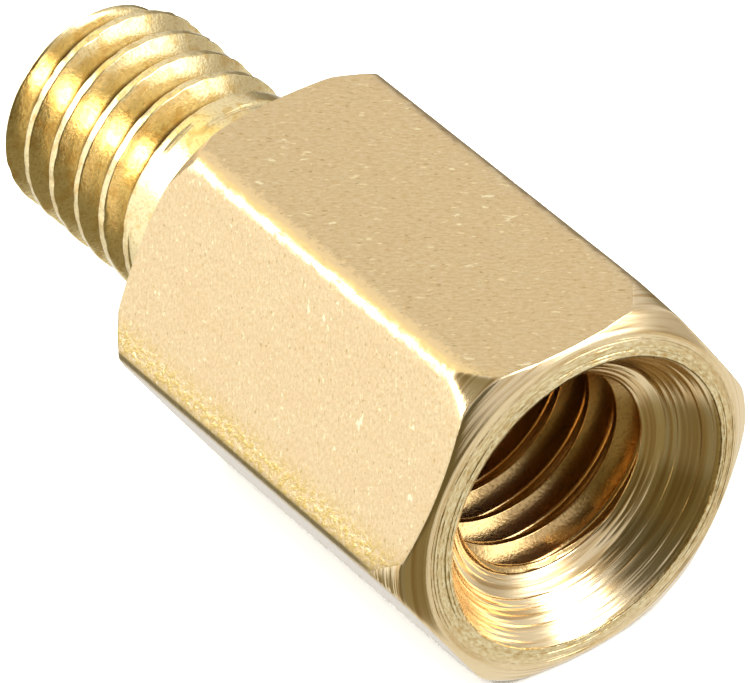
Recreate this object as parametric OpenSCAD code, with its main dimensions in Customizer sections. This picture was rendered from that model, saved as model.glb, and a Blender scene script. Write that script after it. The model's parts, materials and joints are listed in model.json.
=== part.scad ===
// Brass male-female hex standoff: a length of drawn hexagonal bar, turned down to a threaded stud
// at one end, and drilled, tapped and countersunk at the other. It lies on one flat, with its axis
// along X: the stud points to -X and the female end to +X.

/* [Hexagonal bar] */
// Distance between opposite flats
across_flats = 6; // [5.4:0.1:9]
// Length of the bar between the shoulder and the female end face
body_length = 8; // [7.2:0.1:40]
// Rounding along the six long edges of the drawn bar
edge_radius = 0.3; // [0.05:0.01:0.5]

/* [Stud] */
// Outside diameter of the stud's thread
stud_d = 3.84; // [3:0.02:4.6]
// Length of the stud from the shoulder to its tip
stud_length = 5; // [2.4:0.1:20]
// Length of the bevel at the stud's tip
tip_bevel = 0.15; // [0.1:0.05:0.6]

/* [Shoulder] */
// How far inside the flats the shoulder's face ends
shoulder_set_in = 0.28; // [0.05:0.01:0.6]
// Slope of the shoulder's bevel, measured from its face
shoulder_bevel_angle = 24; // [15:1:45]
// Width of the shoulder's bevel, across the axis
shoulder_bevel_width = 0.47; // [0.3:0.01:0.7]
// Slope of the taper on the six corners next to the shoulder, measured from the axis
shoulder_taper_angle = 35; // [25:1:50]

/* [Female end] */
// How far inside the flats the end ring ends
rim_set_in = 0.08; // [0:0.01:0.2]
// Slope of the bevel round the end ring, measured from its face
rim_bevel_angle = 28; // [15:1:45]
// Width of the bevel round the end ring, across the axis
rim_bevel_width = 0.32; // [0.2:0.01:0.5]
// Slope of the taper on the six corners next to that bevel, measured from the axis
end_taper_angle = 18; // [15:1:40]
// Width of the flat end ring outside the countersink
rim_width = 0.35; // [0.1:0.01:0.5]
// Included angle of the countersink
countersink_angle = 76; // [50:1:120]
// Diameter of the tapping drill
bore_d = 3.3; // [2.6:0.05:3.7]
// Depth of the tapped thread, from the drill's wall to the thread's outside
thread_depth = 0.4; // [0.2:0.02:0.5]
// Included angle of the lead-in from the countersink to the bore
lead_in_angle = 120; // [90:1:150]
// Depth of the bore's straight wall below the end face
bore_depth = 6; // [3:0.1:6.5]
// Included angle of the drill's point at the bottom of the bore
drill_point_angle = 118; // [90:1:140]

/* [Hidden] */
$fn = 96;
hex_sides = 6;
corner_step = 360 / hex_sides;
half_flats = across_flats / 2;

// Distance from the axis to the centres of the rounded edges, and to a sharp corner
edge_centre_r = (half_flats - edge_radius) / cos(corner_step / 2);
sharp_corner_r = half_flats / cos(corner_step / 2);

// Directions of the points round one edge, from the flat before it to the flat after it
edge_steps = 6;
edge_turns = [for (i = [0 : edge_steps]) corner_step * (i / edge_steps - 1 / 2)];

// Cuts and the turned blank run past the faces by this much
overrun = 0.5;
blank_r = sharp_corner_r + overrun;

// Radii and heights of the turned form, with the shoulder's face at height 0
shoulder_r = half_flats - shoulder_set_in;
shoulder_taper_r = shoulder_r + shoulder_bevel_width;
shoulder_taper_h = shoulder_bevel_width * tan(shoulder_bevel_angle);
shoulder_taper_end_h = shoulder_taper_h + (blank_r - shoulder_taper_r) / tan(shoulder_taper_angle);
rim_r = half_flats - rim_set_in;
end_taper_r = rim_r + rim_bevel_width;
end_taper_h = body_length - rim_bevel_width * tan(rim_bevel_angle);
end_taper_start_h = end_taper_h - (blank_r - end_taper_r) / tan(end_taper_angle);

// Radii and depths of the hole, below the female end face
bore_r = bore_d / 2;
lead_r = bore_r + thread_depth;
mouth_r = rim_r - rim_width;
countersink_depth = (mouth_r - lead_r) / tan(countersink_angle / 2);
lead_in_end = countersink_depth + (lead_r - bore_r) / tan(lead_in_angle / 2);
drill_point_length = bore_r / tan(drill_point_angle / 2);

stud_r = stud_d / 2;

brass = [0.86, 0.74, 0.49];

// Section of the drawn bar, with a flat at each multiple of 60 degrees and rounded corners between
module bar_section() {
    polygon([
        for (k = [0 : hex_sides - 1], turn = edge_turns)
            let (corner = corner_step * (k + 1 / 2))
            edge_centre_r * [cos(corner), sin(corner)]
            + edge_radius * [cos(corner + turn), sin(corner + turn)]
    ]);
}

// Turned outline of the body: a bevel and a corner taper at the shoulder, and again at the female end
module turned_blank() {
    rotate_extrude()
        polygon([
            [0, 0],
            [shoulder_r, 0],
            [shoulder_taper_r, shoulder_taper_h],
            [blank_r, shoulder_taper_end_h],
            [blank_r, end_taper_start_h],
            [end_taper_r, end_taper_h],
            [rim_r, body_length],
            [0, body_length]
        ]);
}

// Stud with a bevelled tip, which reaches into the body at its root
module stud() {
    rotate_extrude()
        polygon([
            [0, -stud_length],
            [stud_r - tip_bevel, -stud_length],
            [stud_r, tip_bevel - stud_length],
            [stud_r, overrun],
            [0, overrun]
        ]);
}

// Countersunk and tapped blind hole, with the drill's conical bottom
module tapped_hole() {
    translate([0, 0, body_length])
        rotate_extrude()
            polygon([
                [0, -bore_depth - drill_point_length],
                [bore_r, -bore_depth],
                [bore_r, -lead_in_end],
                [lead_r, -countersink_depth],
                [mouth_r, 0],
                [mouth_r, overrun],
                [0, overrun]
            ]);
}

module hex_standoff() {
    color(brass)
        translate([(stud_length - body_length) / 2, 0, half_flats])
            rotate([0, 90, 0])
                difference() {
                    union() {
                        intersection() {
                            linear_extrude(body_length) bar_section();
                            turned_blank();
                        }
                        stud();
                    }
                    tapped_hole();
                }
}

hex_standoff();
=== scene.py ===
"""Looks of a brass male-female hex standoff, laid over its CAD model."""

import json
import math

import bpy
import numpy as np
from mathutils import Matrix, Vector


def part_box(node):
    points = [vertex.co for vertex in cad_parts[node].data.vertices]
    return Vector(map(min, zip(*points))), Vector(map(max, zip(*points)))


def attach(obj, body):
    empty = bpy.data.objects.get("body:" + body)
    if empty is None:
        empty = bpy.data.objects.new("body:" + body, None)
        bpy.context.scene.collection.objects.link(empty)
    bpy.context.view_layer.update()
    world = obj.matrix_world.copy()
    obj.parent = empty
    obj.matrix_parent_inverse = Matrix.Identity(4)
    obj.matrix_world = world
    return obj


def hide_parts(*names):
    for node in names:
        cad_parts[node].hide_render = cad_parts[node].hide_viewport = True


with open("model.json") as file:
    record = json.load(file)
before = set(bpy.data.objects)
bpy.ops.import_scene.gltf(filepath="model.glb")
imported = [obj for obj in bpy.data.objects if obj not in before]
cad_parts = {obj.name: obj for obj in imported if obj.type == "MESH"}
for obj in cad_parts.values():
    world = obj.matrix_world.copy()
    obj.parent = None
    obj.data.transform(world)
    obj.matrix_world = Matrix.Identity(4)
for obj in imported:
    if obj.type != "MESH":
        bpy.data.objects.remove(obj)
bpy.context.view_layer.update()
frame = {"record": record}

# The standoff: one piece of free-cutting brass, cut from drawn hexagonal bar. One end is turned down
# to a threaded stud, and the other is bevelled, drilled, countersunk and tapped.
# Its skin is one closed mesh, in columns round the axis and rows along the outline, all in mm.
MM = 0.001
mounts = {mount["name"]: mount for mount in frame["record"]["mounts"]}
low_corner, high_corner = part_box("hex_standoff")
across_flats = (high_corner.z - low_corner.z) / MM
shoulder_x = mounts["shoulder"]["pos_m"][0] / MM
body_length = high_corner.x / MM - shoulder_x
stud_length = shoulder_x - low_corner.x / MM
stud_r = mounts["stud"]["dims"]["r_mm"]
bore_r = mounts["tapped_hole"]["dims"]["r_mm"]
rng = np.random.default_rng(4)

points = []
faces = []
face_finishes = []
DRAWN, TURNED, THREADED, TAPPED = range(4)

# Columns: close together round each of the six drawn edges, and even over the flats between them
hex_sides = 6
edge_radius = 0.3
edge_steps = 8
half_flat_steps = 12
half_flats = across_flats / 2
half_side = math.pi / hex_sides
edge_centre_r = (half_flats - edge_radius) / math.cos(half_side)
corner_r = edge_centre_r + edge_radius


def edge_point(turn):
    """Angle off the edge's middle and radius of the rounded edge, where its surface faces turn."""
    along = edge_centre_r + edge_radius * math.cos(turn)
    beside = edge_radius * math.sin(turn)
    return math.atan2(beside, along), math.hypot(along, beside)


sector = [edge_point(half_side * (2 * i / edge_steps - 1)) for i in range(edge_steps + 1)]
flat_start = sector[-1][0]
for i in range(1, 2 * half_flat_steps):
    angle = flat_start + (half_side - flat_start) * i / half_flat_steps
    sector.append((angle, half_flats / math.cos(half_side - angle)))
theta = np.array([2 * half_side * k + angle for k in range(hex_sides) for angle, r in sector])
hex_r = np.array([r for k in range(hex_sides) for angle, r in sector])
columns = len(theta)


def add_ring(s, r, aside=(0, 0)):
    """Adds one ring of points at axial places s, from the shoulder, and radii r. The ring's middle lies
    aside from the axis by this much in Y and Z. Returns the points' indices."""
    s, r = np.broadcast_to(s, columns), np.broadcast_to(r, columns)
    first = len(points)
    places = zip(s + shoulder_x, r * np.cos(theta) + aside[0], r * np.sin(theta) + half_flats + aside[1])
    points.extend((x * MM, y * MM, z * MM) for x, y, z in places)
    return np.arange(first, first + columns)


def add_face(corners, finish):
    """Adds a face, leaving out corners that fall together."""
    kept = [c for i, c in enumerate(corners) if c != corners[i - 1]]
    if len(kept) > 2:
        faces.append(kept)
        face_finishes.append(finish)


def bridge(ring, following, finish):
    """Joins two rings that follow each other along the outline, from the stud's tip to the hole's bottom."""
    for i in range(columns):
        after = (i + 1) % columns
        add_face([ring[i], ring[after], following[after], following[i]], finish)


def close_ring(ring, s, finish, at_start):
    """Closes a ring with a fan of triangles to a point on the axis."""
    centre = len(points)
    points.append(((s + shoulder_x) * MM, 0.0, half_flats * MM))
    for i in range(columns):
        pair = [ring[i], ring[(i + 1) % columns]]
        add_face([centre, *(pair[::-1] if at_start else pair)], finish)


def rounded(corners, reach, steps):
    """Outline through the corners, each inner one softened by a curve that starts and ends reach away."""
    corners = [np.array(c, float) for c in corners]
    outline = [corners[0]]
    for before, corner, after in zip(corners, corners[1:], corners[2:]):
        ends = [corner + (far - corner) / np.linalg.norm(far - corner) * reach for far in (before, after)]
        for t in np.linspace(0, 1, steps + 1):
            outline.append((1 - t) ** 2 * ends[0] + 2 * t * (1 - t) * corner + t * t * ends[1])
    return np.array(outline + [corners[-1]])


def waver(size, waves):
    """Small smooth unevenness round the axis, one value for each column, of about this size."""
    total = np.zeros(columns)
    for wave in range(1, waves + 1):
        total += rng.normal() * np.cos(wave * theta + rng.uniform(0, 2 * math.pi))
    return size * total / math.sqrt(waves)


# Threads: metric coarse, 0.7 mm pitch and right-hand. Rows follow the helix, so that crests stay crisp.
pitch = 0.7
flank_angle = math.radians(30)
crest_softening = 0.012
root_softening = 0.04
softening_steps = 2
spare_turns = 2

# Sampling a hair further along keeps a row that starts a turn from falling back into the turn before
seam_nudge = 1e-9


def thread_outline(depth, crest, flank_shares):
    """One pitch of a thread, from the middle of a crest to the next: (place along the axis, depth). Flanks
    get a row at each share of their height."""
    flank = depth * math.tan(flank_angle)
    crest_edge, root_edge = (crest / 2, 0), (crest / 2 + flank, depth)
    top = rounded([(0, 0), crest_edge, root_edge], crest_softening, softening_steps)[:-1]
    foot = rounded([crest_edge, root_edge, (pitch / 2, depth)], root_softening, softening_steps)[1:]
    straight = [top[-1] + (foot[0] - top[-1]) * share for share in flank_shares]
    half = [*top, *straight, *foot]
    return np.array(half + [(pitch - along, deep) for along, deep in half[-2::-1]])


def add_thread(s_low, s_high, crest_s, outline, radius, outward, finish):
    """Adds a helical skin from s_low to s_high. radius(s, depth, turns) gives the radius at each point, and
    crest_s is where a crest's middle crosses column 0. Returns the rings at both ends."""
    per_turn = len(outline) - 1
    share = theta / (2 * math.pi)

    def radius_at(s):
        turns = (s - crest_s) / pitch - share
        depth = np.interp((turns % 1) * pitch, outline[:, 0], outline[:, 1])
        return radius(s, depth, np.floor(turns) + share)

    ends = {s: add_ring(s, radius_at(np.full(columns, s))) for s in (s_low, s_high)}
    first = math.floor((s_low - crest_s) / pitch) - spare_turns
    last = math.ceil((s_high - crest_s) / pitch) + spare_turns
    rows = []
    for k in range(first, last + 1):
        for along in outline[:-1, 0]:
            s = crest_s + pitch * (share + k) + along
            low, high = s <= s_low, s >= s_high
            row = np.where(low, ends[s_low], ends[s_high])
            inside = ~(low | high)
            if inside.any():
                ring = add_ring(s, radius_at(np.clip(s + seam_nudge, s_low, s_high)))
                row[inside] = ring[inside]
            rows.append(row)
    for j in range(len(rows) - 1):
        for i in range(columns):
            after, step = (i + 1, 0) if i + 1 < columns else (0, per_turn)
            if j + 1 + step < len(rows):
                corners = [rows[j][i], rows[j + step][after], rows[j + 1 + step][after], rows[j + 1][i]]
                add_face(corners if outward else corners[::-1], finish)
    return ends[s_low], ends[s_high]


# Stud: turned down and threaded with a die. The groove runs out before the shoulder and leaves a plain
# shank, the crests are finely nicked, and the die left score marks where it stopped.
stud_thread_depth = 0.41
stud_crest = 0.13
stud_crest_s = -4.575
stud_flank_shares = (0.04, 0.12, 0.22, 0.32, 0.6, 0.96)
tip_bevel = 0.15
tip_margin = 0.02
run_out_turns = (3.4, 4.3)
nick_size = 0.004
nick_reach = 0.03
nick_count = 12
nicks_a_turn = (5, 30)
nick_waves = [(rng.uniform(*nicks_a_turn), rng.uniform(0, 2 * math.pi)) for i in range(nick_count)]

# Score marks: middle and reach in turns along the helix, and place along the axis past the crest
score_marks = ((4.315, 0.025, 0.105), (4.52, 0.055, 0.09))
score_width = 0.022
score_depth = 0.03


def stud_radius(s, depth, turns):
    """Radius of the stud, with the thread's run-out, nicked crests, score marks and the tip's bevel."""
    start, end = run_out_turns
    lift = stud_thread_depth * np.clip((turns - start) / (end - start), 0, 1)
    left = np.maximum(depth - lift, 0)
    nick = nick_size * sum(np.sin(2 * math.pi * waves * turns + phase) for waves, phase in nick_waves)
    crest_share = np.exp(-left / nick_reach) * (1 - lift / stud_thread_depth)
    cut = stud_r - left - np.maximum(nick, 0) * crest_share
    along = s - stud_crest_s - pitch * turns
    for middle, reach, place in score_marks:
        nearness = np.exp(-((turns - middle) / reach) ** 4 - ((along - place) / score_width) ** 2)
        cut = cut - score_depth * nearness
    return np.minimum(cut, stud_r - tip_bevel + s + stud_length)


stud_outline = thread_outline(stud_thread_depth, stud_crest, stud_flank_shares)
tip_ring, shank_ring = add_thread(-stud_length, 0, stud_crest_s, stud_outline, stud_radius, True, THREADED)
tip_places = np.array([points[i] for i in tip_ring]) / MM
tip_r = np.hypot(tip_places[:, 1], tip_places[:, 2] - half_flats)
tip_face_ring = add_ring(-stud_length, tip_r - tip_margin)
bridge(tip_face_ring, tip_ring, TURNED)
close_ring(tip_face_ring, -stud_length, TURNED, True)

# Body: the drawn bar. A bevel is turned round the shoulder's face and a taper over the corners next to it,
# and both again at the female end. Widths are across the axis, and the cut edges are a little soft.
shoulder_set_in = 0.28
shoulder_bevel_width = 0.47
shoulder_bevel_slope = math.tan(math.radians(24))
shoulder_taper_slope = math.tan(math.radians(35))
shoulder_softness = 0.007
rim_set_in = 0.08
rim_bevel_width = 0.32
rim_bevel_slope = math.tan(math.radians(28))
end_taper_slope = math.tan(math.radians(18))
end_softness = 0.026
shoulder_r = half_flats - shoulder_set_in
shoulder_taper_r = shoulder_r + shoulder_bevel_width
shoulder_taper_s = shoulder_bevel_width * shoulder_bevel_slope
rim_r = half_flats - rim_set_in
end_taper_r = rim_r + rim_bevel_width
end_taper_s = body_length - rim_bevel_width * rim_bevel_slope


def body_radius(s):
    """Radius of the body at axial places s, one for each column, with its cut edges softened."""
    cuts = np.array([
        hex_r,
        shoulder_r + s / shoulder_bevel_slope,
        shoulder_taper_r + (s - shoulder_taper_s) * shoulder_taper_slope,
        end_taper_r + (end_taper_s - s) * end_taper_slope,
        rim_r + (body_length - s) / rim_bevel_slope,
    ])
    lowest = cuts.min(axis=0)
    softness = np.where(s < body_length / 2, shoulder_softness, end_softness)
    return lowest - softness * np.log(np.exp((lowest - cuts) / softness).sum(axis=0))


# Where each cut ends, column by column. Rows stand close together at both ends of a band.
least_band = 0.02
rim_margin = 0.012
root_margin = 0.03
shoulder_margins = (0.25, 0.05)
edge_shares = (0.04, 0.1, 0.2, 0.35, 0.5, 0.65, 0.8, 0.9, 0.96, 1)
flat_shares = (0.003, 0.008, 0.02, 0.1, 0.2, 0.3, 0.4, 0.5, 0.6, 0.7, 0.8, 0.9, 0.98, 0.992, 0.997, 1)
bevel_end = np.minimum(hex_r - shoulder_r, shoulder_bevel_width) * shoulder_bevel_slope
taper_end = shoulder_taper_s + (hex_r - shoulder_taper_r) / shoulder_taper_slope
taper_end = np.maximum(bevel_end + least_band, taper_end)
rim_bevel_start = body_length - np.minimum(hex_r - rim_r, rim_bevel_width) * rim_bevel_slope
end_taper_start = end_taper_s - (hex_r - end_taper_r) / end_taper_slope
end_taper_start = np.minimum(rim_bevel_start - least_band, end_taper_start)
rim_edge = np.full(columns, body_length - rim_margin)
bands = (
    (np.zeros(columns), bevel_end, edge_shares, TURNED),
    (bevel_end, taper_end, edge_shares, DRAWN),
    (taper_end, end_taper_start, flat_shares, DRAWN),
    (end_taper_start, rim_bevel_start, edge_shares, TURNED),
    (rim_bevel_start, rim_edge, edge_shares, TURNED),
)

ring = shank_ring
for r in (stud_r + root_margin, *[shoulder_r - margin for margin in shoulder_margins]):
    following = add_ring(0, r)
    bridge(ring, following, TURNED)
    ring = following
for start, end, shares, finish in bands:
    for share in shares:
        s = start + (end - start) * share
        following = add_ring(s, body_radius(s))
        bridge(ring, following, finish)
        ring = following

# Female end: the flat end ring, the countersink, and the lip where the thread starts. The countersink was
# cut by hand, a hair off centre at the mouth.
rim_width = 0.35
lead_step = 0.4
lip_r = 1.75
land_height = 0.03
land_step = 0.01
countersink_slope = math.tan(math.radians(38))
lead_in_slope = math.tan(math.radians(60))
mouth_aside = np.array([0.08, -0.07])
mouth_r = rim_r - rim_width
lead_r = bore_r + lead_step
countersink_depth = (mouth_r - lead_r) / countersink_slope
lip_depth = countersink_depth + (lead_r - lip_r) / lead_in_slope
land_depth = lip_depth + land_height
countersink_slant = math.hypot(mouth_r - lead_r, countersink_depth)

# Feed marks: least and greatest sizes, and the form of one mark, as shares of its width and height
ridge_width = (0.03, 0.08)
ridge_height = (0.004, 0.016)
ridge_form = ((0, 0), (0.3, 0.15), (0.6, 1), (0.8, 0.8))
ridge_waver = 0.004
ridge_waves = 40
groove_width = (0.05, 0.12)
groove_depth = (0.005, 0.018)
groove_form = ((0.15, 0), (0.4, 0.5), (0.7, 1), (0.9, 0.8))
groove_waver = 0.0008
groove_waves = 24
grooves_start_share = 0.03
grooves_end_share = 0.95

# Rounding of the mouth: depth below the end face and distance outside the mouth's radius
mouth_rounding = ((0.002, 0.018), (0.01, 0.004))
mouth_margin = 0.02
mouth_waver = 0.005

# Each row: axial place, radius, and share of the mouth's offset
end_rows = []
r = rim_r - rim_margin
while r > mouth_r + mouth_margin:
    width = rng.uniform(*ridge_width)
    depth = rng.uniform(*ridge_height)
    for part, sink in ridge_form:
        place = r - width * part
        share = (rim_r - place) / (rim_r - mouth_r)
        end_rows.append((body_length - depth * sink, place + waver(ridge_waver, ridge_waves), share))
    r -= width
for below, outside in mouth_rounding:
    end_rows.append((body_length - below, mouth_r + outside + waver(mouth_waver, ridge_waves), 1))
share = grooves_start_share
while share < grooves_end_share:
    width = rng.uniform(*groove_width) / countersink_slant
    fade = 0.5 + 0.5 * np.cos(theta - rng.uniform(0, 2 * math.pi))
    height = rng.uniform(*groove_depth) * fade
    for part, lift in groove_form:
        place = share + width * part
        end_rows.append((
            body_length - place * countersink_depth,
            mouth_r + (lead_r - mouth_r) * place - lift * height + waver(groove_waver, groove_waves),
            1 - place,
        ))
    share += width

# Lip: the lead-in's corners are soft, and marks of the tap run round it, each at a share of its slope with
# its height. The first row lies a little up the countersink from the lead-in.
lip_start = np.array([0.02, 0.016])
lip_softening = 0.02
lip_steps = 3
lip_rows = 14
lip_waver = 0.0025
lip_marks = ((0.2, 0.012), (0.45, 0.01), (0.75, 0.014))
lip_mark_width = 0.06
lead_corner = np.array([body_length - countersink_depth, lead_r])
lip_corner = np.array([body_length - lip_depth, lip_r])
land_corner = np.array([body_length - land_depth, lip_r - land_step])
lip_outline = rounded(
    [lead_corner + lip_start, lead_corner, lip_corner, land_corner], lip_softening, lip_steps
)
upper_lip, lower_lip = lip_outline[:lip_steps + 2], lip_outline[lip_steps + 2:]
slope_start, slope_end = upper_lip[-1], lower_lip[0]
slope_rows = [slope_start + (slope_end - slope_start) * share for share in np.linspace(0, 1, lip_rows)[1:-1]]
for s, r in (*upper_lip, *slope_rows, *lower_lip):
    share = (slope_start[1] - r) / (slope_start[1] - slope_end[1])
    mark = sum(rise * math.exp(-((share - middle) / lip_mark_width) ** 2) for middle, rise in lip_marks)
    end_rows.append((s, r - mark + waver(lip_waver, groove_waves), 0))
for s, r, share in end_rows:
    following = add_ring(s, r, mouth_aside * share)
    bridge(ring, following, TURNED)
    ring = following

# Hole: drilled, and tapped with the same thread, which runs out above the drill's conical point. The depth
# can't be seen and is a usual one.
bore_depth = 6.0
drill_point = bore_r / math.tan(math.radians(59))
hole_thread_depth = 0.38
hole_crest = 0.1
hole_crest_s = 6.6
hole_flank_shares = (0.05, 0.95)
hole_run_out = 1.2
hole_start_width = 0.005
hole_start_slope = 2
hole_bottom_s = body_length - bore_depth
hole_mouth_s = body_length - land_depth - hole_start_width
hole_mouth_r = lip_r - land_step
hole_outline = thread_outline(hole_thread_depth, hole_crest, hole_flank_shares)


def hole_radius(s, depth, turns):
    """Radius of the hole, with a thread that starts at the lip and runs out above the bottom."""
    cut = bore_r + depth * np.clip((s - hole_bottom_s) / hole_run_out, 0, 1)
    reach = (hole_mouth_s - s) * hole_start_slope
    return np.clip(cut, hole_mouth_r - reach, hole_mouth_r + reach)


bottom_ring, mouth_ring = add_thread(
    hole_bottom_s, hole_mouth_s, hole_crest_s, hole_outline, hole_radius, False, TAPPED
)
bridge(ring, mouth_ring, TURNED)
close_ring(bottom_ring, hole_bottom_s - drill_point, TAPPED, False)

used = sorted({corner for face in faces for corner in face})
renumber = {old: new for new, old in enumerate(used)}
skin = bpy.data.meshes.new("hex_standoff_skin")
skin.from_pydata([points[i] for i in used], [], [[renumber[c] for c in face] for face in faces])
skin.polygons.foreach_set("material_index", face_finishes)
skin.polygons.foreach_set("use_smooth", [True] * len(faces))
standoff = bpy.data.objects.new("brass_standoff", skin)
bpy.context.scene.collection.objects.link(standoff)

# Sockets of a Mix node that share a name are told apart by their index
FACTOR, VECTOR_A, VECTOR_B, COLOUR_A, COLOUR_B = 0, 4, 5, 6, 7
MIXED_VECTOR, MIXED_COLOUR = 1, 2


def linear(hex_colour):
    """Linear colour of an sRGB hex value."""
    channels = [int(hex_colour[i:i + 2], 16) / 255 for i in (1, 3, 5)]
    return (*[c / 12.92 if c <= 0.04045 else ((c + 0.055) / 1.055) ** 2.4 for c in channels], 1)


def add_node(tree, kind, settings, links=()):
    """Adds a node, sets its properties and constant sockets, and links sockets from other nodes' outputs."""
    node = tree.nodes.new(kind)
    for name, value in settings.items():
        if isinstance(name, int) or name in node.inputs:
            node.inputs[name].default_value = value
        else:
            setattr(node, name, value)
    for name, output in dict(links).items():
        tree.links.new(output, node.inputs[name])
    return node


def per(size):
    """Scale of a pattern whose features are this many mm apart."""
    return 1 / (size * MM)


def new_metal(name, hex_colour):
    """A metal: its node tree, its shader and the place of each point on the standoff."""
    material = bpy.data.materials.new(name)
    material.use_nodes = True
    shader = material.node_tree.nodes["Principled BSDF"]
    shader.inputs["Base Color"].default_value = linear(hex_colour)
    shader.inputs["Metallic"].default_value = 1
    skin.materials.append(material)
    place = add_node(material.node_tree, "ShaderNodeTexCoord", {}).outputs["Object"]
    return material.node_tree, shader, place


def round_axis(tree, place):
    """Each point's coordinates, its offset from the axis, as Y and Z, and its distance from the axis."""
    split = add_node(tree, "ShaderNodeSeparateXYZ", {}, {"Vector": place}).outputs
    height = add_node(tree, "ShaderNodeMath", {"operation": "SUBTRACT", 1: half_flats * MM}, {0: split["Z"]})
    offset = add_node(tree, "ShaderNodeCombineXYZ", {}, {"X": split["Y"], "Y": height.outputs["Value"]})
    distance = add_node(tree, "ShaderNodeVectorMath", {"operation": "LENGTH"}, {0: offset.outputs["Vector"]})
    return split, offset.outputs["Vector"], distance.outputs["Value"]


# Drawn brass: satin flats, as the bar left the die and the tumbling barrel. Fine flecks, pores and nicks lie
# aslant on each flat over a faint tan bloom. The side and lower edges are rubbed, and painted a darker gold
# as shade, with a dark line of painted shade along their ridge. A paler band along the top flat's front edge
# is a painted highlight, and the rounding of the edges is beaded.
tree, shader, place = new_metal("drawn_brass", "#f9dca9")
split, _, distance = round_axis(tree, place)

# Lay of the flecks: their direction, the way the flat faces, and how many times longer than wide they are
lays = []
for along, normal, stretch in (
    ((0.645, 0.764, 0), (0, 0, 1), 2.4),
    ((0.515, -0.429, -0.743), (0, -0.866, 0.5), 1.4),
):
    along, normal = Vector(along).normalized(), Vector(normal).normalized()
    turn = Matrix((along, normal.cross(along), normal)).transposed().to_euler()
    mapping = add_node(
        tree, "ShaderNodeMapping",
        {"vector_type": "TEXTURE", "Rotation": turn, "Scale": (stretch, 1, 1)}, {"Vector": place}
    )
    lays.append(mapping.outputs["Vector"])

# The plane through the axis and the front upper edge parts the top flat's lay from the front flat's
beside = add_node(
    tree, "ShaderNodeVectorMath",
    {"operation": "DOT_PRODUCT", 1: (0, math.cos(half_side), math.sin(half_side))}, {0: place}
).outputs["Value"]
on_top = add_node(
    tree, "ShaderNodeMath", {"operation": "GREATER_THAN", 1: half_flats * MM * math.sin(half_side)},
    {0: beside}
).outputs["Value"]
lay = add_node(
    tree, "ShaderNodeMix", {"data_type": "VECTOR"}, {FACTOR: on_top, VECTOR_A: lays[1], VECTOR_B: lays[0]}
).outputs[MIXED_VECTOR]

# Patterns: where they lie, mm between features, octaves of finer detail, and how rough that is. The grain
# and the pores are finer on a real bar, and are drawn as coarse as they need to show.
patterns = {}
for name, source, size, detail, roughness in (
    ("bloom", place, 0.6, 4, 0.6),
    ("grain", lay, 0.05, 3, 0.65),
    ("flecks", lay, 0.07, 3, 0.5),
    ("pores", lay, 0.06, 2, 0.5),
    ("nicks", lay, 0.17, 4, 0.5),
    ("rub", place, 0.09, 4, 0.7),
    ("dimples", place, 0.16, 3, 0.5),
    ("beads", place, 0.24, 1.5, 0.5),
):
    noise = add_node(
        tree, "ShaderNodeTexNoise", {"Scale": per(size), "Detail": detail, "Roughness": roughness},
        {"Vector": source}
    )
    patterns[name] = noise.outputs["Fac"]

# Bands along the edges: mm inside the rounded corner where each band starts and where it is full. They hold
# the rub, the beads, the painted shade on the ridge and the painted highlight on the top flat, which has a
# ragged border.
raggedness = 0.24
ragged = add_node(
    tree, "ShaderNodeMath", {"operation": "MULTIPLY_ADD", 1: raggedness * MM},
    {0: patterns["rub"], 2: distance}
).outputs["Value"]
by_edge, on_round, on_ridge, sheen_band = [
    add_node(
        tree, "ShaderNodeMapRange",
        {"From Min": (corner_r - start) * MM, "From Max": (corner_r - full) * MM}, {"Value": source}
    ).outputs["Result"]
    for source, start, full in (
        (distance, 0.248, 0.108),
        (distance, 0.033, 0.018),
        (distance, 0.01, 0.002),
        (ragged, -0.007, -0.057),
    )
]

# The side and lower edges are told by their height, and the top flat's front edge by its place in Y
low_heights = (4.6, 4.0)
front_places = (-0.6, -1.1)
low, front = [
    add_node(
        tree, "ShaderNodeMapRange", {"From Min": start * MM, "From Max": full * MM}, {"Value": source}
    ).outputs["Result"]
    for source, (start, full) in ((split["Z"], low_heights), (split["Y"], front_places))
]
rub_and_shade_share = add_node(
    tree, "ShaderNodeMapRange", {"From Min": 0.42, "From Max": 0.58}, {"Value": patterns["rub"]}
).outputs["Result"]
low_edge, painted_ridge_shade, front_sheen = [
    add_node(tree, "ShaderNodeMath", {"operation": "MULTIPLY"}, {0: band, 1: side}).outputs["Value"]
    for band, side in ((by_edge, low), (on_ridge, low), (sheen_band, front))
]
rubbed_and_shaded, painted_sheen_top = [
    add_node(tree, "ShaderNodeMath", {"operation": "MULTIPLY"}, {0: band, 1: side}).outputs["Value"]
    for band, side in ((low_edge, rub_and_shade_share), (front_sheen, on_top))
]

# Colours, one over the other: the bloom, the patterns between two of their values, the painted shade on the
# rubbed lower edges and on their ridge, and the painted highlight on the top flat
layers = []
for name, start, full, most, hex_colour in (
    ("grain", 0.35, 0.65, 0.75, "#d5b682"),
    ("flecks", 0.64, 0.7, 0.75, "#fdeabb"),
    ("pores", 0.63, 0.74, 0.62, "#a98a4e"),
    ("nicks", 0.685, 0.71, 0.9, "#fff0c8"),
):
    share = add_node(
        tree, "ShaderNodeMapRange", {"From Min": start, "From Max": full, "To Max": most},
        {"Value": patterns[name]}
    )
    layers.append((share.outputs["Result"], hex_colour))
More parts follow.
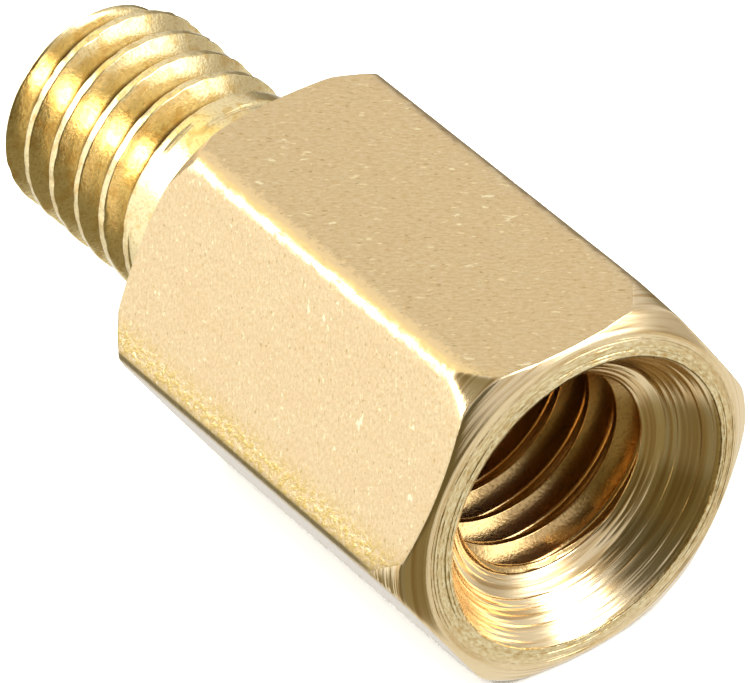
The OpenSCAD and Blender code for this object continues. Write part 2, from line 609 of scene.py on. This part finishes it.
# Painted shade: darker gold on the rubbed lower edges and a dark line on their ridge. Painted highlight: a
# paler band along the top flat's front edge.
layers += [(rubbed_and_shaded, "#d4b66c"), (painted_sheen_top, "#f8dcaa"), (painted_ridge_shade, "#84703a")]
tone = add_node(
    tree, "ShaderNodeMix", {"data_type": "RGBA", COLOUR_A: linear("#e5c99c"), COLOUR_B: linear("#ebd8af")},
    {FACTOR: patterns["bloom"]}
)
for share, hex_colour in layers:
    tone = add_node(
        tree, "ShaderNodeMix", {"data_type": "RGBA", COLOUR_B: linear(hex_colour)},
        {FACTOR: share, COLOUR_A: tone.outputs[MIXED_COLOUR]}
    )
tree.links.new(tone.outputs[MIXED_COLOUR], shader.inputs["Base Color"])
smoothest, roughest = 0.27, 0.38
satin = add_node(
    tree, "ShaderNodeMapRange",
    {"From Min": 0.3, "From Max": 0.7, "To Min": smoothest, "To Max": roughest}, {"Value": patterns["grain"]}
)
tree.links.new(satin.outputs["Result"], shader.inputs["Roughness"])

# Relief: depth of each pattern in mm, and where it is held to one place
normal = {}
for name, depth, strength in (
    ("dimples", 0.009, {}),
    ("beads", 0.034, {"Strength": on_round}),
    ("grain", 0.003, {}),
    ("rub", 0.02, {"Strength": low_edge}),
):
    bump = add_node(
        tree, "ShaderNodeBump", {"Strength": 1, "Distance": depth * MM},
        {"Height": patterns[name], **strength, **normal}
    )
    normal = {"Normal": bump.outputs["Normal"]}
tree.links.new(bump.outputs["Normal"], shader.inputs["Normal"])

# Turned brass: bevels, end ring and countersink as the lathe tool left them. Feed lines run part of the way
# round the axis as thin bright and dark rings, beads of metal by the mouth are darker gold mottled with pale
# painted glints, and the lower corners are scored. The feed lines are finer on a real one, and are drawn as
# coarse as they need to show.
tree, shader, place = new_metal("turned_brass", "#f9dca9")
split, offset, distance = round_axis(tree, place)
turned_roughness = 0.2
line_spacing = 0.09
line_drift = 0.06
bead_spacing = 0.045
bead_stretch = 2.5
track = add_node(tree, "ShaderNodeCombineXYZ", {}, {"X": split["X"], "Y": distance})
drift = add_node(tree, "ShaderNodeMath", {"operation": "MULTIPLY", 1: line_drift}, {0: split["Y"]})
lines = add_node(
    tree, "ShaderNodeTexNoise",
    {"noise_dimensions": "4D", "Scale": per(line_spacing), "Detail": 1.5, "Roughness": 0.5},
    {"Vector": track.outputs["Vector"], "W": drift.outputs["Value"]}
).outputs["Fac"]

# The beads are drawn out along the ring
facing = add_node(tree, "ShaderNodeVectorMath", {"operation": "NORMALIZE"}, {0: offset})
along_ring = add_node(
    tree, "ShaderNodeVectorMath", {"operation": "SCALE", "Scale": mouth_r / bead_stretch * MM},
    {0: facing.outputs["Vector"]}
)
outwards = add_node(tree, "ShaderNodeCombineXYZ", {}, {"Z": distance})
bead_place = add_node(
    tree, "ShaderNodeVectorMath", {"operation": "ADD"},
    {0: along_ring.outputs["Vector"], 1: outwards.outputs["Vector"]}
)
beads = add_node(
    tree, "ShaderNodeTexNoise", {"Scale": per(bead_spacing), "Detail": 3},
    {"Vector": bead_place.outputs["Vector"]}
).outputs["Fac"]

# Where the finish changes: from one place to another, in mm, it goes from one share to another. The fades
# are distances from the taper's edge, below the end face, inside the rim and outside the mouth.
taper_fade = 0.04
end_fade_start, end_fade_full = 0.06, 0.02
bead_fade_start, bead_fade_full = 0.03, 0.12
end_x = high_corner.x / MM
on_taper, low, at_end, by_mouth, towards_end = [
    add_node(
        tree, "ShaderNodeMapRange",
        {"From Min": start * MM, "From Max": end * MM, "To Min": least, "To Max": most}, {"Value": source}
    ).outputs["Result"]
    for source, start, end, least, most in (
        (distance, end_taper_r - taper_fade, end_taper_r + taper_fade, 0, 1),
        (split["Z"], *low_heights, 0, 1),
        (split["X"], end_x - end_fade_start, end_x - end_fade_full, 0, 1),
        (distance, rim_r - bead_fade_start, mouth_r + bead_fade_full, 0.15, 1),
        (split["X"], shoulder_x, 0, 0.3, 1),
    )
]
taper_line_strength = 0.25
line_strength = add_node(
    tree, "ShaderNodeMapRange", {"To Min": 1, "To Max": taper_line_strength}, {"Value": on_taper}
).outputs["Result"]
line_share = add_node(
    tree, "ShaderNodeMapRange", {"From Min": 0.47, "From Max": 0.62, "To Max": 0.62}, {"Value": lines}
).outputs["Result"]
bead_glints = add_node(
    tree, "ShaderNodeMapRange", {"From Min": 0.28, "From Max": 0.68}, {"Value": beads}
).outputs["Result"]
low_taper, on_end, line_depth = [
    add_node(tree, "ShaderNodeMath", {"operation": "MULTIPLY"}, {0: share, 1: side}).outputs["Value"]
    for share, side in ((on_taper, low), (at_end, by_mouth), (line_share, towards_end))
]

# Relief: depth of each pattern in mm, and its strength from place to place
normal = {}
for height, depth, strength in (
    (lines, 0.014, line_strength),
    (lines, 0.035, low_taper),
    (beads, 0.008, on_end),
):
    bump = add_node(
        tree, "ShaderNodeBump", {"Distance": depth * MM}, {"Height": height, "Strength": strength, **normal}
    )
    normal = {"Normal": bump.outputs["Normal"]}
tree.links.new(bump.outputs["Normal"], shader.inputs["Normal"])
shader.inputs["Roughness"].default_value = turned_roughness

# Colours: feed lines everywhere, and on the end ring the beads, darker gold mottled with pale painted glints
line_tone, bead_glint_tone = [
    add_node(
        tree, "ShaderNodeMix", {"data_type": "RGBA", COLOUR_A: linear(first), COLOUR_B: linear(second)},
        {FACTOR: share}
    ).outputs[MIXED_COLOUR]
    for share, first, second in ((line_depth, "#ffe7ba", "#c99f58"), (bead_glints, "#d0ac6a", "#fff0c2"))
]
tone = add_node(
    tree, "ShaderNodeMix", {"data_type": "RGBA"}, {FACTOR: on_end, COLOUR_A: line_tone, COLOUR_B: bead_glint_tone}
)
tree.links.new(tone.outputs[MIXED_COLOUR], shader.inputs["Base Color"])

# Threaded and tapped brass: flanks cut by the die and the tap. They are smooth and bright, and light that
# bounces between them comes out a deeper gold. Fine grit breaks up the reflection. The tapped brass is a
# darker, redder copy of the same brass, as painted shade for the inside of the hole. The stud also has
# golden blotches, and painted shade darkens its roots.
grit_spacing = 0.05
grit_depth = 0.0034
blotch_spacing = 0.22
# Painted shade in the stud's roots: mm above the root where it starts and where it is full
root_shade_start, root_shade_full = 0.1, 0.04
for name, hex_colour, grit_colour, roughness, root_r in (
    ("threaded_brass", "#fee9b2", "#c89c4e", 0.23, stud_r - stud_thread_depth),
    # A darker, redder copy of the same brass: painted shade for the inside of the hole
    ("tapped_brass_shaded", "#e2bf84", "#8a6430", 0.2, None),
):
    tree, shader, place = new_metal(name, hex_colour)
    grit = add_node(
        tree, "ShaderNodeTexNoise", {"Scale": per(grit_spacing), "Detail": 4}, {"Vector": place}
    ).outputs["Fac"]
    bump = add_node(tree, "ShaderNodeBump", {"Strength": 1, "Distance": grit_depth * MM}, {"Height": grit})
    tree.links.new(bump.outputs["Normal"], shader.inputs["Normal"])
    shader.inputs["Roughness"].default_value = roughness
    share = add_node(
        tree, "ShaderNodeMapRange", {"From Min": 0.5, "From Max": 0.7, "To Max": 0.4}, {"Value": grit}
    )
    layers = [(share.outputs["Result"], grit_colour)]
    if root_r:
        blotches = add_node(
            tree, "ShaderNodeTexNoise", {"Scale": per(blotch_spacing), "Detail": 4}, {"Vector": place}
        )
        share = add_node(
            tree, "ShaderNodeMapRange", {"From Min": 0.5, "From Max": 0.64, "To Max": 0.5},
            {"Value": blotches.outputs["Fac"]}
        )
        layers.append((share.outputs["Result"], "#e2b65c"))
        _, _, distance = round_axis(tree, place)
        # Painted shade: the stud's roots go dark brown, as the shade in the grooves
        share = add_node(
            tree, "ShaderNodeMapRange",
            {"From Min": (root_r + root_shade_start) * MM, "From Max": (root_r + root_shade_full) * MM, "To Max": 0.95},
            {"Value": distance}
        )
        layers.append((share.outputs["Result"], "#6a4a18"))
    under = {}
    for share, layer_colour in layers:
        tone = add_node(
            tree, "ShaderNodeMix",
            {"data_type": "RGBA", COLOUR_A: linear(hex_colour), COLOUR_B: linear(layer_colour)},
            {FACTOR: share, **under}
        )
        under = {COLOUR_A: tone.outputs[MIXED_COLOUR]}
    tree.links.new(tone.outputs[MIXED_COLOUR], shader.inputs["Base Color"])

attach(standoff, "root")
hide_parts("hex_standoff")

# Floor: a plain white sheet of paper that the standoff lies on. The metal mirrors the tent and not the
# sheet, which lies a hair below the lowest flat.
floor_half = 600
floor_drop = 0.02
floor_sides = ((-1, -1), (1, -1), (1, 1), (-1, 1))
floor_corners = [(x * floor_half * MM, y * floor_half * MM, -floor_drop * MM) for x, y in floor_sides]
floor_mesh = bpy.data.meshes.new("white_sheet")
floor_mesh.from_pydata(floor_corners, [], [(0, 1, 2, 3)])
floor = bpy.data.objects.new("white_sheet", floor_mesh)
bpy.context.scene.collection.objects.link(floor)

# White paper: uncoated, so it is matt and has no gloss of its own
paper = bpy.data.materials.new("white_paper")
paper.use_nodes = True
paper_shader = paper.node_tree.nodes["Principled BSDF"]
paper_shader.inputs["Base Color"].default_value = linear("#f4f4f2")
paper_shader.inputs["Roughness"].default_value = 0.9
floor_mesh.materials.append(paper)
floor.visible_glossy = False

# Light: a tent of pale cloth round the standoff, with bright panels at the left and the right and dark ones
# round the camera. Each is laid over those before it.
world = bpy.data.worlds.new("light_tent")
bpy.context.scene.world = world
world.use_nodes = True
tree = world.node_tree
direction = add_node(tree, "ShaderNodeTexCoord", {}).outputs["Generated"]
cloth = (0.67, 0.66, 0.66, 1)


def towards(azimuth, elevation):
    """Direction with an azimuth, from +X to +Y, and an elevation, in degrees."""
    turn, rise = math.radians(azimuth), math.radians(elevation)
    return Vector((math.cos(turn) * math.cos(rise), math.sin(turn) * math.cos(rise), math.sin(rise)))


# Panels: azimuth and elevation of the middle, degrees from it where the panel is full and where it is gone,
# and radiance
tent = {}
for name, azimuth, elevation, full, gone, radiance in (
    ("sheet below", 0, -90, 75, 100, (0.8, 0.79, 0.75)),
    ("cold light low behind", 152, -42, 12, 24, (1.05, 1.17, 1.38)),
    ("dark low at the left", -114, -50, 9, 16, (0.25, 0.21, 0.1)),
    ("wall behind", 147, 39, 16, 30, (0.87, 0.85, 0.83)),
    ("wall at the left", -131, 0, 18, 34, (1.15, 1.16, 1.18)),
    ("dark behind", 120, -8, 14, 26, (0.25, 0.23, 0.17)),
    ("dark in front", -50, 0, 38, 52, (0.125, 0.1, 0.04)),
    ("dark round the camera", -30, 40, 16, 28, (0.09, 0.08, 0.045)),
    ("dark low in front", -68, -36, 18, 34, (0.22, 0.2, 0.13)),
    ("dark low at the right", -28, -38, 16, 30, (0.24, 0.2, 0.1)),
    ("dark beside the left lamp", -97, 48, 8, 15, (0.2, 0.17, 0.08)),
    ("dark over the left lamp", -110, 70, 12, 22, (0.22, 0.19, 0.1)),
    ("warm light over the stud", 178, 50, 10, 20, (1.25, 1.15, 0.72)),
    ("wide left lamp", -143, 34, 6, 21, (6, 6, 6)),
    ("left lamp", -112, 40, 5, 12, (16, 16, 16)),
    ("grey at the right", 63, -8, 9, 19, (0.47, 0.44, 0.4)),
    ("right lamp", 37, 14, 8, 18, (2.7, 2.7, 2.7)),
    ("high right lamp", 46, 50, 17, 24, (5.5, 5.5, 5.5)),
):
    nearness = add_node(
        tree, "ShaderNodeVectorMath", {"operation": "DOT_PRODUCT", 1: towards(azimuth, elevation)},
        {0: direction}
    )
    share = add_node(
        tree, "ShaderNodeMapRange",
        {
            "interpolation_type": "SMOOTHSTEP",
            "From Min": math.cos(math.radians(gone)),
            "From Max": math.cos(math.radians(full)),
        },
        {"Value": nearness.outputs["Value"]}
    )
    panel = add_node(
        tree, "ShaderNodeMix",
        {"label": name, "data_type": "RGBA", COLOUR_A: cloth, COLOUR_B: (*radiance, 1)},
        {FACTOR: share.outputs["Result"], **tent}
    )
    tent = {COLOUR_A: panel.outputs[MIXED_COLOUR]}

# The camera sees plain white behind the sheet
white = (1, 1, 1, 1)
seen = add_node(tree, "ShaderNodeLightPath", {}).outputs["Is Camera Ray"]
backdrop = add_node(tree, "ShaderNodeMix", {"data_type": "RGBA", COLOUR_B: white}, {FACTOR: seen, **tent})
tree.links.new(backdrop.outputs[MIXED_COLOUR], tree.nodes["Background"].inputs["Color"])

# Overhead lamp: a large soft light that hangs over the sheet and keeps it white. The metal doesn't mirror
# it, so it lights the sheet alone.
lamp_side = 1200
lamp_height = 400
lamp_watts = 11
lamp = bpy.data.lights.new("overhead_lamp", "AREA")
lamp.size = lamp_side * MM
lamp.energy = lamp_watts
overhead = bpy.data.objects.new("overhead_lamp", lamp)
overhead.location = (0, 0, lamp_height * MM)
overhead.visible_glossy = False
bpy.context.scene.collection.objects.link(overhead)

# Camera: a long lens that looks down at the female end, from the right and in front. Its place, aim and roll
# were fitted to the edges in the photograph.
eye = Vector((84.687, -54.177, 83.69)) * MM
aim = Vector((1.341, -0.164, 3.0)) * MM
roll = math.radians(4.589)
camera_data = bpy.data.cameras.new("camera")
camera_data.sensor_width = 36
camera_data.lens = 396.4
camera_data.clip_start = 10 * MM
camera = bpy.data.objects.new("camera", camera_data)
bpy.context.scene.collection.objects.link(camera)
turn = (eye - aim).to_track_quat("Z", "Y").to_matrix() @ Matrix.Rotation(-roll, 3, "Z")
camera.matrix_world = Matrix.Translation(eye) @ turn.to_4x4()
bpy.context.scene.camera = camera
bpy.context.scene.view_settings.view_transform = "Standard"
